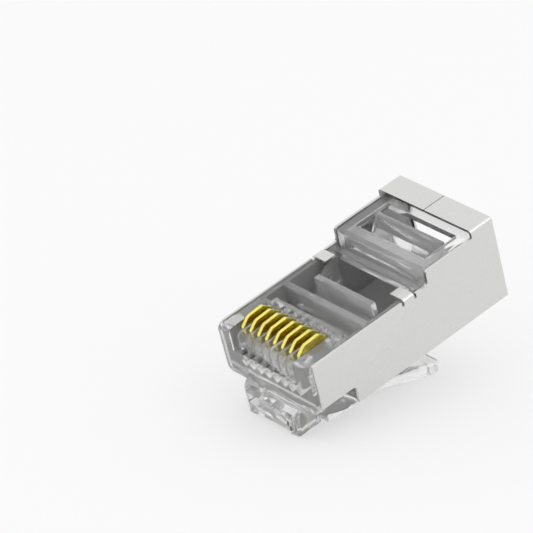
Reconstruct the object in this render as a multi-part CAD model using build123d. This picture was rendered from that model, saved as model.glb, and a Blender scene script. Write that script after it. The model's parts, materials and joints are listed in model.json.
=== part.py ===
from build123d import *
from math import atan2, degrees
import os

# Shielded 8-position 8-contact modular plug, before crimping, in millimetres.
# The plug's own frame: X from the nose to the rear, Y across, Z from the outer face of the
# shield's latch-side plate towards the contacts. The finished pieces are tilted at the end,
# because the plug lies on its latch lever and on the edge of its latch block.

# Shield, one folded sheet
sheet = 0.25
plug_width = 11.68
shield_length = 21.46
plate_bend = 0.15
strap_bend = 0.35
rear_fold_radius = 0.12
side_front = 0.32
side_top = 6.23
rear_side_top = 7.57
shield_step_x = 13.49
shield_step_radius = 0.40
plate_front = 4.04
notch_top = 1.75
strap_top = 8.27
strap_length = 2.51
seam = 0.07

# Tabs that hold the housing down
tab_front = 10.70
tab_length = 1.15
tab_reach = 4.10
tab_relief = 0.22
tab_relief_depth = 0.40

# Rear flaps, folded inwards around the cable mouth
latch_flap_root = 5.44
latch_flap_edge = 3.41
latch_flap_height = 1.42
latch_flap_sag = 0.26
strap_flap_root = 5.24
strap_flap_edge = 3.34
strap_flap_end = 5.92
strap_flap_radius = 0.45
side_flap_width = 0.84
side_flap_low = 1.00
side_flap_high = 5.80
side_flap_mitre = 0.55

# Fits
shield_fit = 0.04
flange_fit = 0.02
tab_fit = 0.03
slot_fit = 0.05
hinge_fit = 0.06

# Housing, outer form
nose_front = -0.25
nose_top = 6.10
nose_underside = 0.0
nose_heel_x = 0.75
flange_bottom = 1.35
flange_corner = 0.60
margin_radius = 0.55
body_step_x = 13.40
body_step_radius = 0.30
body_top = 7.57
body_edge_radius = 0.35
rear_gap = 0.30

# Comb that holds the contacts
contact_count = 8
pitch = 1.02
contact_thickness = 0.32
comb_front = -0.20
comb_floor = 3.95
comb_top = 6.14
comb_rear = 4.15
rib_thickness = 0.25
rib_radius = 0.55
end_slot_extra = 0.62
blade_slot_floor = 2.85
blade_slot_front = 0.85
pip_radius = 0.27
pip_depth = 0.90
pip_offset = 0.30

# Conductor channels and duct
channel_front = 0.30
channel_height = 2.85
channel_half_diagonal = 0.44
duct_front = 5.15
duct_rear = 9.45
duct_half = 3.90
duct_wall = 0.40
duct_floor = 2.30
duct_roof = 3.50
pocket_floor = 4.00

# Cross bars and pockets behind the comb
bar_a_front = 6.60
bar_a_rear = 7.30
bar_b_front = 8.83
bar_b_half = 3.60
side_wall = 0.45
side_pocket_floor = 1.20
side_pocket_front = 4.60

# Funnel that leads the conductors from the cavity to the duct
funnel_rear = 13.00
funnel_wall_low = 5.00
lip_front = 12.50
lip_rear = 13.10
lip_top = 6.15
groove_floor = 5.75
lip_underside = 5.30

# Cable cavity, window and strain relief
rear_wall = 0.65
cavity_floor_wall = 0.51
cavity_roof_wall = 0.57
cavity_step = 14.10
window_front = 14.80
window_rear = 18.50
window_half = 4.33
panel_half = 4.00
panel_depth = 0.15
panel_rim = 0.30
web_thickness = 0.30
web_top = 6.00
wedge_half = 4.15
wedge_toe_x = 16.05
wedge_crest_front = 16.90
wedge_rear = 17.30
wedge_top = 7.60

# Latch block under the nose
block_front = -1.02
block_rear = 1.40
block_half = 3.45
block_bottom = -1.50
block_brow = 0.75
block_brow_radius = 0.25
block_root = 1.42
block_corner_radius = 0.60
block_edge_radius = 0.35
block_groove_half = 2.20
block_groove_depth = 0.24
recess_depth = 0.90
recess_high = 0.62
outer_recess = (1.35, 3.05, -0.40)
inner_recess = (-1.30, -0.35, 0.08)
lattice_recess = (-2.95, -2.00)
lattice_low = -1.10
lattice_high = 0.55
lattice_depth = 0.30
lattice_rib = 0.18

# Latch tongue and lever
hinge_x = 1.70
hinge_z = -1.00
knuckle_radius = 0.25
knuckle_half = 2.60
root_x = 2.05
root_inner_z = -0.75
root_outer_z = -1.48
tongue_half = 3.05
shoulder_front = 5.00
shoulder_rear = 5.50
lever_half = 1.60
lever_corner = 0.35
lever_inner = ((8.50, -2.90), (12.50, -3.95), (14.20, -4.70), (15.80, -5.25))
lever_outer = ((8.30, -3.70), (10.40, -4.35), (12.40, -5.30),
               (14.60, -6.05), (15.40, -6.20), (15.80, -5.95))

# Contact blade, outline above and inside its slot
blade_top = ((0.70, 5.60), (0.70, 6.13), (1.35, 6.70), (1.55, 6.82), (3.13, 6.90), (3.95, 6.25))
blade_rear = 3.95
blade_base = 4.60
tine_width = 0.62
tine_tip = 3.30
tine_centres = (1.70, 3.20)

# Derived places
half_width = plug_width / 2
strap_front = shield_length - strap_length
body_half = half_width - sheet - shield_fit
body_floor = sheet + shield_fit
body_rear = shield_length - sheet - rear_gap
flange_rear = side_front - flange_fit
tab_bottom = nose_top + tab_fit
tab_top = tab_bottom + sheet
slot_width = contact_thickness + 2 * slot_fit
contact_places = [pitch * (i - (contact_count - 1) / 2) for i in range(contact_count)]
comb_low = contact_places[0] - slot_width / 2
comb_high = contact_places[-1] + slot_width / 2 + end_slot_extra
pocket_half = body_half - side_wall
cavity_half = body_half - rear_wall
cavity_floor = body_floor + cavity_floor_wall
cavity_roof = body_top - cavity_roof_wall
reach = 4 * plug_width
SIDE = Plane.XZ
PLAN = Plane.XY
END = Plane.YZ


def prism(plane, corners, start, end):
    """Solid between two distances along a plane's normal; a corner is (u, v) or (u, v, radius)."""
    radii = [corner[2] if len(corner) == 3 else 0 for corner in corners]
    outline = FilletPolyline(*[corner[:2] for corner in corners], radius=radii, close=True)
    return extrude(plane.offset(start) * make_face(outline), end - start, dir=plane.z_dir)


def block(x, y, z):
    """Box between two limits on each axis."""
    centre = [(low + high) / 2 for low, high in (x, y, z)]
    return Pos(*centre) * Box(*[high - low for low, high in (x, y, z)])


def both_sides(solid):
    """A solid and its mirror image on the other side of the plug."""
    return solid + mirror(solid, about=Plane.XZ)


# Shield
def shield_envelope(inset, plate_radius, strap_radius):
    """Closed outer form of the folded sheet, or its inside when inset by the sheet."""
    half = half_width - inset
    section = [(-half, inset, plate_radius),
               (half, inset, plate_radius),
               (half, strap_top - inset, strap_radius),
               (-half, strap_top - inset, strap_radius)]
    return prism(END, section, side_front, shield_length)


def shield_tab():
    """One tab, folded over from the side plate's top edge."""
    fold = [(half_width, side_top - tab_relief_depth),
            (half_width, tab_top, strap_bend),
            (tab_reach, tab_top),
            (tab_reach, tab_bottom),
            (half_width - sheet, tab_bottom, strap_bend - sheet),
            (half_width - sheet, side_top - tab_relief_depth)]
    return prism(END, fold, tab_front, tab_front + tab_length)


def tab_reliefs():
    """Slits beside one tab, which let it fold."""
    across = (half_width - 2 * sheet, half_width + sheet)
    up = (side_top - tab_relief_depth, side_top + sheet)
    front = block((tab_front - tab_relief, tab_front), across, up)
    tab_rear = tab_front + tab_length
    return front + block((tab_rear, tab_rear + tab_relief), across, up)


def rear_flaps():
    """The flaps that close the shell around the cable mouth."""
    near = (-latch_flap_edge, latch_flap_height)
    far = (latch_flap_edge, latch_flap_height)
    sides = Polyline(near, (-latch_flap_root, 0), (latch_flap_root, 0), far)
    free_edge = ThreePointArc(far, (0, latch_flap_height - latch_flap_sag), near)
    latch_flap = extrude(END.offset(shield_length - sheet) * make_face(sides + free_edge), sheet)
    strap_flap = prism(END, [(seam / 2, strap_top),
                             (strap_flap_root, strap_top),
                             (strap_flap_edge, strap_flap_end, strap_flap_radius),
                             (seam / 2, strap_flap_end)], shield_length - sheet, shield_length)
    inner = half_width - side_flap_width
    side_flap = prism(END, [(half_width, side_flap_low),
                            (inner, side_flap_low + side_flap_mitre),
                            (inner, side_flap_high - side_flap_mitre),
                            (half_width, side_flap_high)], shield_length - sheet, shield_length)
    return latch_flap + both_sides(strap_flap) + both_sides(side_flap)


def make_shield():
    closed = shield_envelope(0, plate_bend, strap_bend)
    inside = shield_envelope(sheet, 0, strap_bend - sheet)
    envelope = fillet(closed.faces().sort_by(Axis.X)[-1].edges(), rear_fold_radius)
    side_view = [(side_front, notch_top),
                 (side_front, side_top),
                 (shield_step_x, side_top, shield_step_radius),
                 (shield_step_x, rear_side_top, shield_step_radius),
                 (strap_front, rear_side_top),
                 (strap_front, strap_top + sheet),
                 (shield_length + sheet, strap_top + sheet),
                 (shield_length + sheet, -sheet),
                 (plate_front, -sheet),
                 (plate_front, notch_top, shield_step_radius)]
    shell = (envelope - inside) & prism(SIDE, side_view, -reach, reach)
    shell += rear_flaps() & envelope
    shell -= block((strap_front - sheet, shield_length + sheet), (-seam / 2, seam / 2),
                   (strap_flap_end - sheet, strap_top + sheet))
    return shell - both_sides(tab_reliefs()) + both_sides(shield_tab())


# Housing
def outer_body():
    """Solid outer form of the moulding, with the flange that covers the shield's front edges."""
    side_view = [(nose_front, flange_bottom),
                 (nose_heel_x, flange_bottom),
                 (nose_heel_x, nose_underside),
                 (plate_front - shield_fit, nose_underside),
                 (plate_front - shield_fit, body_floor),
                 (body_rear, body_floor),
                 (body_rear, body_top),
                 (body_step_x, body_top, body_step_radius),
                 (body_step_x, groove_floor),
                 (lip_rear, groove_floor),
                 (lip_rear, lip_top),
                 (lip_front, lip_top),
                 (lip_front, nose_top),
                 (nose_front, nose_top, margin_radius)]
    flange_half = half_width - flange_fit
    body = prism(SIDE, side_view, -flange_half, flange_half)
    whole_length = (flange_rear, shield_length)
    body -= both_sides(block(whole_length, (body_half, half_width), (nose_underside - sheet, strap_top)))
    centre = (flange_half - flange_corner, flange_bottom + flange_corner)
    corner = block((nose_front - sheet, flange_rear), (centre[0], half_width),
                   (flange_bottom - sheet, centre[1]))
    corner -= Pos(0, *centre) * Rot(Y=90) * Cylinder(flange_corner, 8 * sheet)
    body -= both_sides(corner)
    long_edges = body.edges().filter_by(Axis.X)
    lower = long_edges.filter_by_position(Axis.Z, body_floor - shield_fit, body_floor + shield_fit)
    body = fillet(lower, plate_bend)
    upper = body.edges().filter_by(Axis.X).group_by(Axis.Z)[-1]
    return fillet(upper, body_edge_radius)


def comb_ribs():
    """Thin ribs between the contacts, each one beside the next contact's slot."""
    side_view = [(comb_front, comb_floor - slot_fit),
                 (comb_front, comb_top, rib_radius),
                 (comb_rear + slot_fit, comb_top),
                 (comb_rear + slot_fit, comb_floor - slot_fit)]
    rib = prism(SIDE, side_view, slot_width / 2, slot_width / 2 + rib_thickness)
    return [Pos(0, place, 0) * rib for place in contact_places[1:]]


def comb_cuts():
    """What is cut for each contact: the blade's slot, its round rear end and the conductor channel."""
    slot = block((blade_slot_front, comb_rear), (-slot_width / 2, slot_width / 2),
                 (blade_slot_floor, comb_top))
    pip_z = nose_top - pip_depth / 2
    pip = Pos(comb_rear + pip_offset, 0, pip_z) * Cylinder(pip_radius, pip_depth + slot_fit)
    diamond = [(channel_half_diagonal, channel_height),
               (0, channel_height + channel_half_diagonal),
               (-channel_half_diagonal, channel_height),
               (0, channel_height - channel_half_diagonal)]
    channel = prism(END, diamond, channel_front, duct_front)
    return [Pos(0, place, 0) * cut for place in contact_places for cut in (slot, pip, channel)]


def middle_cuts():
    """Duct, top pockets and side pockets between the comb and the funnel."""
    duct = block((duct_front, duct_rear), (-duct_half, duct_half), (duct_floor, duct_roof))
    across = (-pocket_half, pocket_half)
    up = (pocket_floor, body_top)
    pocket_a = block((duct_front, bar_a_front), across, up)
    pocket_b = block((bar_a_rear, bar_b_front), across, up)
    bar_b_end = block((bar_b_front, duct_rear), (bar_b_half, pocket_half), up)
    inner = duct_half + duct_wall
    side_a = block((side_pocket_front, bar_a_front), (inner, pocket_half), (side_pocket_floor, body_top))
    plan = [(bar_a_rear, inner), (duct_rear, inner), (lip_front, pocket_half), (bar_a_rear, pocket_half)]
    side_b = prism(PLAN, plan, side_pocket_floor, body_top)
    return [duct, pocket_a, pocket_b, both_sides(bar_b_end), both_sides(side_a), both_sides(side_b)]


def funnel_cuts():
    """Funnel between the duct and the cavity, open above, with walls that fall towards the duct."""
    side_view = [(duct_rear, duct_floor),
                 (funnel_rear, cavity_floor),
                 (funnel_rear, lip_underside),
                 (lip_front, lip_underside),
                 (lip_front, body_top),
                 (duct_rear, body_top)]
    plan = [(duct_rear, -duct_half),
            (funnel_rear, -cavity_half),
            (funnel_rear, cavity_half),
            (duct_rear, duct_half)]
    funnel = prism(SIDE, side_view, -body_half, body_half) & prism(PLAN, plan, 0, body_top)
    slope = [(duct_rear, funnel_wall_low),
             (lip_front, nose_top),
             (lip_front, body_top),
             (duct_rear, body_top)]
    return [funnel, prism(SIDE, slope, -pocket_half, pocket_half)]


def cavity_cuts():
    """Cable cavity, the window above it and the shallow panel in the step's face."""
    across = (-cavity_half, cavity_half)
    front = block((funnel_rear, cavity_step), across, (cavity_floor, lip_underside))
    rear = block((cavity_step, body_rear + rear_gap), across, (cavity_floor, cavity_roof))
    window = block((window_front, window_rear), (-window_half, window_half),
                   (cavity_roof - sheet, body_top + sheet))
    panel = block((body_step_x - panel_depth, body_step_x + panel_depth), (-panel_half, panel_half),
                  (lip_top, body_top - panel_rim))
    return [front, rear, window, panel]


def strain_relief():
    """Wedge bar on its thin hinge web, pressed onto the cable when the plug is crimped."""
    web_bottom = web_top - web_thickness
    side_view = [(body_step_x + panel_rim, web_bottom),
                 (wedge_rear, web_bottom),
                 (wedge_rear, wedge_top),
                 (wedge_crest_front, wedge_top),
                 (wedge_toe_x, web_top),
                 (body_step_x + panel_rim, web_top)]
    return prism(SIDE, side_view, -wedge_half, wedge_half)


def lattice():
    """Shallow recess with crossed ribs, at one end of the latch block's front face."""
    low_y, high_y = lattice_recess
    front = (block_front - sheet, block_front + lattice_depth)
    recess = block(front, lattice_recess, (lattice_low, lattice_high))
    middle = ((low_y + high_y) / 2, (lattice_low + lattice_high) / 2)
    rise = lattice_high - lattice_low
    turn = degrees(atan2(high_y - low_y, rise))
    rib = Box(2 * lattice_depth + 2 * sheet, lattice_rib, 2 * rise)
    for lean in (-turn, turn):
        recess -= Pos(block_front, *middle) * Rot(X=lean) * rib
    return recess


def latch_block():
    """Block under the nose that carries the latch, with its recesses and the hinge seat."""
    side_view = [(block_front, block_bottom),
                 (block_rear, block_bottom),
                 (block_rear, block_root),
                 (nose_front, block_root),
                 (block_front, block_brow, block_brow_radius)]
    plan = [(block_front, -block_half, block_corner_radius),
            (block_rear, -block_half),
            (block_rear, block_half),
            (block_front, block_half, block_corner_radius)]
    section = [(-block_half, block_bottom, block_edge_radius),
               (block_half, block_bottom, block_edge_radius),
               (block_half, block_root),
               (-block_half, block_root)]
    body = prism(SIDE, side_view, -block_half, block_half)
    body &= prism(PLAN, plan, block_bottom, block_root)
    body &= prism(END, section, block_front, block_rear)
    front = (block_front - sheet, block_front + recess_depth)
    for low_y, high_y, low_z in (outer_recess, inner_recess):
        body -= block(front, (low_y, high_y), (low_z, recess_high))
    body -= lattice()
    body -= block((block_front - sheet, block_rear + sheet), (-block_groove_half, block_groove_half),
                  (block_bottom - sheet, block_bottom + block_groove_depth))
    neck = block((block_rear - sheet, hinge_x), (-knuckle_half, knuckle_half),
                 (hinge_z - knuckle_radius, hinge_z + knuckle_radius))
    seat = Pos(hinge_x, 0, hinge_z) * Rot(X=90) * Cylinder(knuckle_radius + hinge_fit, 2 * block_half + sheet)
    return body + neck - seat


def make_housing():
    body = outer_body()
    body -= block((nose_front - sheet, comb_rear), (comb_low, comb_high), (comb_floor, body_top))
    body += comb_ribs()
    body -= comb_cuts() + middle_cuts() + funnel_cuts() + cavity_cuts()
    return body + strain_relief() + latch_block()


# Latch
def make_latch():
    side_view = [(hinge_x, hinge_z + knuckle_radius), (root_x, root_inner_z), *lever_inner,
                 *reversed(lever_outer), (root_x, root_outer_z), (hinge_x, hinge_z - knuckle_radius)]
    plan = [(hinge_x - knuckle_radius, -knuckle_half),
            (root_x, -knuckle_half),
            (root_x, -tongue_half),
            (shoulder_front, -tongue_half),
            (shoulder_rear, -lever_half),
            (lever_inner[-1][0], -lever_half, lever_corner)]
    plan += [(x, -y, *radius) for x, y, *radius in reversed(plan)]
    tongue = prism(SIDE, side_view, -reach, reach) & prism(PLAN, plan, -reach, reach)
    knuckle = Pos(hinge_x, 0, hinge_z) * Rot(X=90) * Cylinder(knuckle_radius, 2 * knuckle_half)
    return tongue + knuckle


# Contacts
def make_contact(place):
    """One gold-plated blade with two piercing tines, standing in its slot."""
    tines = [(x, z) for centre in reversed(tine_centres)
             for x, z in ((centre + tine_width / 2, blade_base),
                          (centre, tine_tip),
                          (centre - tine_width / 2, blade_base))]
    toe_x = blade_top[0][0] + tine_width / 2
    side_view = [*blade_top, (blade_rear, blade_base), *tines, (toe_x, blade_base)]
    return prism(SIDE, side_view, -place - contact_thickness / 2, -place + contact_thickness / 2)


pieces = {"housing": make_housing(), "latch": make_latch(), "shield": make_shield()}
for number, place in enumerate(contact_places, start=1):
    pieces[f"contact_{number}"] = make_contact(place)

# Lay the plug down on the block's front edge and the lowest edge of its lever
foot_x, foot_z = min(lever_outer, key=lambda point: point[1])
tilt = degrees(atan2(block_bottom - foot_z, foot_x - block_front))
tilted = {name: Rot(Y=-tilt) * piece for name, piece in pieces.items()}
box = Compound(list(tilted.values())).bounding_box()
drop = Pos(-box.center().X, -box.center().Y, -box.min.Z)

os.makedirs("parts", exist_ok=True)
for name, piece in tilted.items():
    solid = (drop * piece).solids()[0]
    solid.label = name
    export_step(solid, f"parts/{name}.step")
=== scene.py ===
# Shielded modular plug on a pale floor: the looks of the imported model
import json
from contextlib import contextmanager
from math import radians

import bmesh
import bpy
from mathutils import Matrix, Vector


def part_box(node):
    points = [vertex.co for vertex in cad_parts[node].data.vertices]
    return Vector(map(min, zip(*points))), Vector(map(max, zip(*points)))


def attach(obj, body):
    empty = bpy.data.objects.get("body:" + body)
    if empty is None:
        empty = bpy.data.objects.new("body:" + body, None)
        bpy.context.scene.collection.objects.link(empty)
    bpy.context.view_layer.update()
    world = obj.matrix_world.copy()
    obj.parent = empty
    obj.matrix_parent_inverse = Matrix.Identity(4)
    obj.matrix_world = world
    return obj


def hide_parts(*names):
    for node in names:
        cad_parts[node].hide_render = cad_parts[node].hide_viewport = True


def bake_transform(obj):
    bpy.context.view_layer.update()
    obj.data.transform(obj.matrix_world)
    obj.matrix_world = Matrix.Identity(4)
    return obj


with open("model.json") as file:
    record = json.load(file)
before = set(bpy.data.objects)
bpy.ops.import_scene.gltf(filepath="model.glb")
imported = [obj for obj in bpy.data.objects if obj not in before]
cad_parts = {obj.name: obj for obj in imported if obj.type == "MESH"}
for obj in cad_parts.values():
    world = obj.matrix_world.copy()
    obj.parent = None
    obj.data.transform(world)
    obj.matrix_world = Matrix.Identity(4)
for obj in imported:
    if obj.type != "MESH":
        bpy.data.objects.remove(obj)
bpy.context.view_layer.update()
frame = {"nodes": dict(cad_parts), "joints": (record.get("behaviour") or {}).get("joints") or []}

MM = 0.001
WHITE = (1, 1, 1)

# Camera, fitted to the photograph's view, with its turn in degrees
CAMERA_PLACE = (-182.692 * MM, -205.448 * MM, 140.093 * MM)
CAMERA_TURN = (64.9448, -0.0345, -39.9034)
CAMERA_LENS = 244.018
CAMERA_SENSOR = 36.0
CAMERA_CLIP = 10 * MM

# Floor: where it is seen, the lift is the share of its look that comes from its own glow
FLOOR_SIZE = 4.0
FLOOR_COLOUR = (0.93, 0.93, 0.93)
FLOOR_ROUGHNESS = 0.9
FLOOR_GLOW = 0.95
FLOOR_LIFT = 0.55

# Surroundings: the ambient strength lights the object, the backdrop's strength is what is seen
AMBIENT = 0.94
BACKDROP = 0.97

# Lamps
KEY_PLACE = (-0.10, -0.12, 0.60)
KEY_SIZE = 0.70
KEY_POWER = 0.35
FILL_PLACE = (0.15, -0.34, 0.45)
FILL_SIZE = 0.20
FILL_POWER = 0.2

# Grain of every finish, which runs along the tilted plug
PLUG_TILT = radians(15.97)
GRAIN_DETAIL = 3
NOISE_SPAN = (0.3, 0.7)

# Plated metal: a drift is the share of its full colour that a plating falls to
FULL_METAL = 1.0
ROLLED_STRETCH = 5
PLATED_STRENGTH = 0.08
NICKEL_COLOUR = (0.72, 0.72, 0.705)
NICKEL_DRIFT = 0.96
NICKEL_GRAIN = 0.10 * MM
NICKEL_HEIGHT = 0.004 * MM
NICKEL_ROUGHNESS = (0.26, 0.38)
GOLD_COLOUR = (1.0, 0.92, 0.24)
GOLD_SIDE = (0.68, 0.55, 0.09)
GOLD_DRIFT = 0.80
GOLD_GRAIN = 0.12 * MM
GOLD_HEIGHT = 0.01 * MM
GOLD_ROUGHNESS = (0.14, 0.30)

# Inside of the shell, painted with shade, which is dark where the plastic lies within this reach
NICKEL_PAINTED_SHADE = (0.26, 0.26, 0.255)
SHADE_REACH = 0.8 * MM
SHADE_SPAN = (0.3, 0.5)

# Clear plastic, of which this share lets the light through
CLEAR_COLOUR = (0.99, 0.99, 0.99)
CLEAR_IOR = 1.40
CLEAR_THROUGH = 0.86
MOULDED_STRETCH = 1
CLEAR_GRAIN = 1.2 * MM
CLEAR_STRENGTH = 0.06
CLEAR_HEIGHT = 0.02 * MM
CLEAR_ROUGHNESS = (0.01, 0.05)

# Softened edges
WELD = 0.0005 * MM
FLAT_ANGLE = radians(0.5)
EDGE_ANGLE = radians(35)
SMOOTH_ANGLE = radians(30)
EDGE_ROUND = 0.03 * MM
EDGE_SEGMENTS = 2
EDGE_PROFILE = 0.5
SHORTEST_EDGE = 0.10 * MM

# Least sideways part of the normal of a flat side
SIDE_NORMAL = 0.99

# Web that joins latch and housing: a round bar across the plug
WEB_RADIUS = 0.36 * MM
WEB_LENGTH = 5.10 * MM
WEB_SEGMENTS = 32
WEB_TURN = (radians(90), 0, 0)


def opaque(colour):
    return [*colour, 1]


def link(tree, source, target):
    tree.links.new(source, target)


def node_material(name):
    material = bpy.data.materials.new(name)
    material.use_nodes = True
    tree = material.node_tree
    return material, tree, tree.nodes["Principled BSDF"]


def add_noise(tree, grain, stretch):
    """Noise of a grain's size, drawn out along the plug."""
    coordinates = tree.nodes.new("ShaderNodeTexCoord")
    mapping = tree.nodes.new("ShaderNodeMapping")
    mapping.vector_type = "TEXTURE"
    mapping.inputs["Rotation"].default_value = (0, -PLUG_TILT, 0)
    mapping.inputs["Scale"].default_value = (stretch, 1, 1)
    noise = tree.nodes.new("ShaderNodeTexNoise")
    noise.inputs["Scale"].default_value = 1 / grain
    noise.inputs["Detail"].default_value = GRAIN_DETAIL
    link(tree, coordinates.outputs["Object"], mapping.inputs["Vector"])
    link(tree, mapping.outputs["Vector"], noise.inputs["Vector"])
    return noise.outputs["Fac"]


def add_grain(tree, shader, grain, stretch, strength, height, roughness):
    """Fine unevenness: its noise varies the roughness and raises a slight bump."""
    noise = add_noise(tree, grain, stretch)
    span = tree.nodes.new("ShaderNodeMapRange")
    span.inputs["From Min"].default_value, span.inputs["From Max"].default_value = NOISE_SPAN
    span.inputs["To Min"].default_value, span.inputs["To Max"].default_value = roughness
    bump = tree.nodes.new("ShaderNodeBump")
    bump.inputs["Strength"].default_value = strength
    bump.inputs["Distance"].default_value = height
    link(tree, noise, span.inputs["Value"])
    link(tree, span.outputs["Result"], shader.inputs["Roughness"])
    link(tree, noise, bump.inputs["Height"])
    link(tree, bump.outputs["Normal"], shader.inputs["Normal"])
    return noise


def add_ramp(tree, shader, source, span, low, high):
    """Base colour that goes from low to high as the source passes through the span."""
    ramp = tree.nodes.new("ShaderNodeValToRGB")
    first, last = ramp.color_ramp.elements
    first.position, last.position = span
    first.color = opaque(low)
    last.color = opaque(high)
    link(tree, source, ramp.inputs["Fac"])
    link(tree, ramp.outputs["Color"], shader.inputs["Base Color"])


def metal_material(name, grain, height, roughness):
    """Metal with a rolled grain and no colour yet; the grain's noise comes with it."""
    material, tree, shader = node_material(name)
    shader.inputs["Metallic"].default_value = FULL_METAL
    noise = add_grain(tree, shader, grain, ROLLED_STRETCH, PLATED_STRENGTH, height, roughness)
    return material, tree, shader, noise


def plated_material(name, colour, drift, grain, height, roughness):
    """Metal whose colour follows its grain, between a share of the full colour and all of it."""
    material, tree, shader, noise = metal_material(name, grain, height, roughness)
    add_ramp(tree, shader, noise, NOISE_SPAN, [channel * drift for channel in colour], colour)
    return material


def nickel(name, colour):
    return plated_material(name, colour, NICKEL_DRIFT, NICKEL_GRAIN, NICKEL_HEIGHT, NICKEL_ROUGHNESS)


def gold(name, colour):
    return plated_material(name, colour, GOLD_DRIFT, GOLD_GRAIN, GOLD_HEIGHT, GOLD_ROUGHNESS)


def shaded_inner_wall_material():
    """Inside of the shell's sides, with painted shade: dark where the plastic covers it, bright where it
    stands free.
    """
    material, tree, shader, _ = metal_material("nickel_inner_wall_painted_shade", NICKEL_GRAIN, NICKEL_HEIGHT,
                                               NICKEL_ROUGHNESS)
    occlusion = tree.nodes.new("ShaderNodeAmbientOcclusion")
    occlusion.inputs["Distance"].default_value = SHADE_REACH
    add_ramp(tree, shader, occlusion.outputs["AO"], SHADE_SPAN, NICKEL_PAINTED_SHADE, NICKEL_COLOUR)
    return material


def clear_material():
    material, tree, shader = node_material("clear_polycarbonate")
    shader.inputs["Base Color"].default_value = opaque(CLEAR_COLOUR)
    shader.inputs["IOR"].default_value = CLEAR_IOR
    shader.inputs["Transmission Weight"].default_value = CLEAR_THROUGH
    add_grain(tree, shader, CLEAR_GRAIN, MOULDED_STRETCH, CLEAR_STRENGTH, CLEAR_HEIGHT, CLEAR_ROUGHNESS)
    return material


@contextmanager
def edited(mesh):
    """Open a mesh for editing, and write it back."""
    edit = bmesh.new()
    edit.from_mesh(mesh)
    yield edit
    edit.to_mesh(mesh)
    edit.free()


def weld(edit):
    bmesh.ops.remove_doubles(edit, verts=edit.verts, dist=WELD)


def copy_of(node, name):
    """Separate copy of a node's mesh, welded and with its flat faces joined."""
    copy = bpy.data.objects.new(name, frame["nodes"][node].data.copy())
    bpy.context.collection.objects.link(copy)
    mesh = copy.data
    mesh.materials.clear()
    if "custom_normal" in mesh.attributes:
        mesh.attributes.remove(mesh.attributes["custom_normal"])
    with edited(mesh) as edit:
        weld(edit)
        bmesh.ops.dissolve_limit(edit, angle_limit=FLAT_ANGLE, verts=edit.verts, edges=edit.edges)
    return copy


def is_sharp(edge):
    return edge.is_manifold and edge.calc_face_angle() > EDGE_ANGLE


def is_roomy(edge):
    """Whether none of the edges that meet at its two ends is short."""
    near = [other for corner in edge.verts for other in corner.link_edges]
    return all(other.calc_length() > SHORTEST_EDGE for other in near)


def soften(mesh):
    """Round the sharp edges a little, where there is room, and shade the curved faces smooth."""
    with edited(mesh) as edit:
        chosen = [edge for edge in edit.edges if is_sharp(edge) and is_roomy(edge)]
        bmesh.ops.bevel(edit, geom=chosen, offset=EDGE_ROUND, offset_type="OFFSET", segments=EDGE_SEGMENTS,
                        profile=EDGE_PROFILE, affect="EDGES", clamp_overlap=False)
        weld(edit)
    mesh.shade_smooth()
    mesh.set_sharp_from_angle(angle=SMOOTH_ANGLE)


def dress(node, name, materials, choose=None):
    """Stand a softened copy in for a node; choose gives the number of each face's material."""
    piece = copy_of(node, name)
    soften(piece.data)
    for material in materials:
        piece.data.materials.append(material)
    if choose:
        low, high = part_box(node)
        middle = (Vector(low) + Vector(high)) / 2
        for face in piece.data.polygons:
            face.material_index = choose(face, middle)
    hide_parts(node)
    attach(piece, "root")


def is_flat_side(face):
    return abs(face.normal.y) > SIDE_NORMAL


def shell_shade_choice(face, middle):
    """0 for the outside, 1 for the inner side walls, 2 for the other faces that turn inwards; 1 and 2
    carry painted shade.
    """
    if (face.center - middle).dot(face.normal) >= 0:
        return 0
    return 1 if is_flat_side(face) else 2


def blade_finish(face, middle):
    """0 for the edges, 1 for the flat sides."""
    return int(is_flat_side(face))


def add_web(place):
    bpy.ops.mesh.primitive_cylinder_add(vertices=WEB_SEGMENTS, radius=WEB_RADIUS, depth=WEB_LENGTH,
                                        location=place, rotation=WEB_TURN)
    return bpy.context.object


def unite(piece, other):
    """Make another object part of a piece's mesh, and remove it."""
    union = piece.modifiers.new("union", "BOOLEAN")
    union.operation = "UNION"
    union.solver = "EXACT"
    union.object = other
    united = piece.evaluated_get(bpy.context.evaluated_depsgraph_get())
    piece.data = bpy.data.meshes.new_from_object(united)
    piece.modifiers.clear()
    bpy.data.objects.remove(other)


def dress_latch(material):
    """Latch with the web of its living hinge, which grows out of the housing."""
    hinge = next(joint for joint in frame["joints"] if joint["name"] == "latch_hinge")
    place = Vector(hinge["pos_m"])
    piece = copy_of("latch", "clear_latch")
    unite(piece, add_web(place))
    soften(piece.data)
    piece.data.materials.clear()
    piece.data.materials.append(material)
    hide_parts("latch")
    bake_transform(piece)


def seen_rays(tree):
    """1 for the rays that show a surface to the camera, in metal or through glass too."""
    path = tree.nodes.new("ShaderNodeLightPath")
    seen = path.outputs["Is Camera Ray"]
    for ray in ("Is Glossy Ray", "Is Transmission Ray"):
        either = tree.nodes.new("ShaderNodeMath")
        either.operation = "MAXIMUM"
        link(tree, seen, either.inputs[0])
        link(tree, path.outputs[ray], either.inputs[1])
        seen = either.outputs["Value"]
    return seen


def mix_to(output, tree, share, low, high):
    """Give an output the low shader where the share is 0 and the high one where it is 1."""
    mix = tree.nodes.new("ShaderNodeMixShader")
    link(tree, share, mix.inputs["Fac"])
    link(tree, low, mix.inputs[1])
    link(tree, high, mix.inputs[2])
    link(tree, mix.outputs["Shader"], output.inputs["Surface"])


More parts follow.
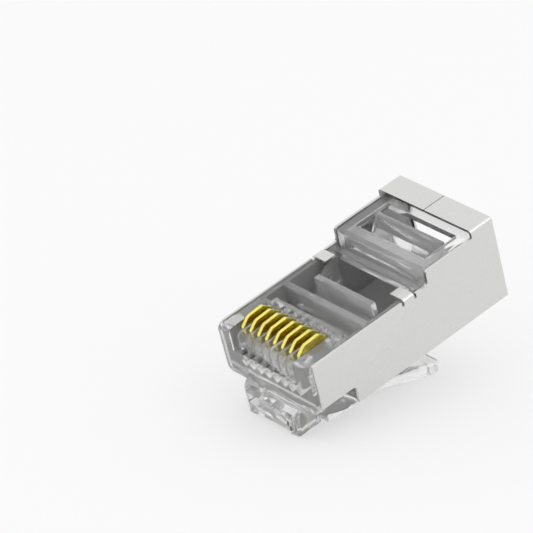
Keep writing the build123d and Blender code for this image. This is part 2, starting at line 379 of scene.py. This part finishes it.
def floor_material():
    """Pale matt floor that glows a little where it is seen, so that the object's shadow stays light."""
    material, tree, shader = node_material("floor")
    shader.inputs["Base Color"].default_value = opaque(FLOOR_COLOUR)
    shader.inputs["Roughness"].default_value = FLOOR_ROUGHNESS
    glow = tree.nodes.new("ShaderNodeEmission")
    glow.inputs["Strength"].default_value = FLOOR_GLOW
    share = tree.nodes.new("ShaderNodeMath")
    share.operation = "MULTIPLY"
    share.inputs[1].default_value = FLOOR_LIFT
    link(tree, seen_rays(tree), share.inputs[0])
    mix_to(tree.nodes["Material Output"], tree, share.outputs["Value"], shader.outputs["BSDF"],
           glow.outputs["Emission"])
    return material


def add_floor():
    bpy.ops.mesh.primitive_plane_add(size=FLOOR_SIZE)
    floor = bpy.context.object
    floor.name = "floor"
    floor.data.materials.append(floor_material())


def add_surroundings():
    """White world, with one strength for the light on the object and another for what is seen."""
    world = bpy.data.worlds.new("studio")
    bpy.context.scene.world = world
    world.use_nodes = True
    tree = world.node_tree
    ambient = tree.nodes["Background"]
    backdrop = tree.nodes.new("ShaderNodeBackground")
    for background, strength in ((ambient, AMBIENT), (backdrop, BACKDROP)):
        background.inputs["Color"].default_value = opaque(WHITE)
        background.inputs["Strength"].default_value = strength
    mix_to(tree.nodes["World Output"], tree, seen_rays(tree), ambient.outputs["Background"],
           backdrop.outputs["Background"])


def put_in_scene(name, data, place, turn):
    thing = bpy.data.objects.new(name, data)
    thing.location = place
    thing.rotation_euler = turn
    bpy.context.collection.objects.link(thing)
    return thing


def add_lamp(name, place, size, power):
    """Soft square lamp that faces the origin, where the object stands."""
    lamp = bpy.data.lights.new(name, "AREA")
    lamp.size = size
    lamp.energy = power
    put_in_scene(name, lamp, place, (-Vector(place)).to_track_quat("-Z", "Y").to_euler())


def add_camera():
    camera = bpy.data.cameras.new("camera")
    camera.lens = CAMERA_LENS
    camera.sensor_width = CAMERA_SENSOR
    camera.clip_start = CAMERA_CLIP
    turn = [radians(angle) for angle in CAMERA_TURN]
    bpy.context.scene.camera = put_in_scene("camera", camera, CAMERA_PLACE, turn)


clear = clear_material()
dress("housing", "clear_housing", [clear])
dress_latch(clear)
# The shell's inward faces carry painted shade: the side walls darken near the plastic, the other inward
# faces are painted dark all over.
shell = [nickel("satin_nickel", NICKEL_COLOUR),
         shaded_inner_wall_material(),
         nickel("nickel_painted_shade", NICKEL_PAINTED_SHADE)]
dress("shield", "folded_shield", shell, shell_shade_choice)
blade = [gold("gold_edge", GOLD_COLOUR),
         gold("gold_side", GOLD_SIDE)]
for node in frame["nodes"]:
    if node.startswith("contact_"):
        dress(node, node.replace("contact", "blade"), blade, blade_finish)

add_floor()
add_surroundings()
add_lamp("key", KEY_PLACE, KEY_SIZE, KEY_POWER)
add_lamp("fill", FILL_PLACE, FILL_SIZE, FILL_POWER)
add_camera()
bpy.context.scene.view_settings.view_transform = "Standard"
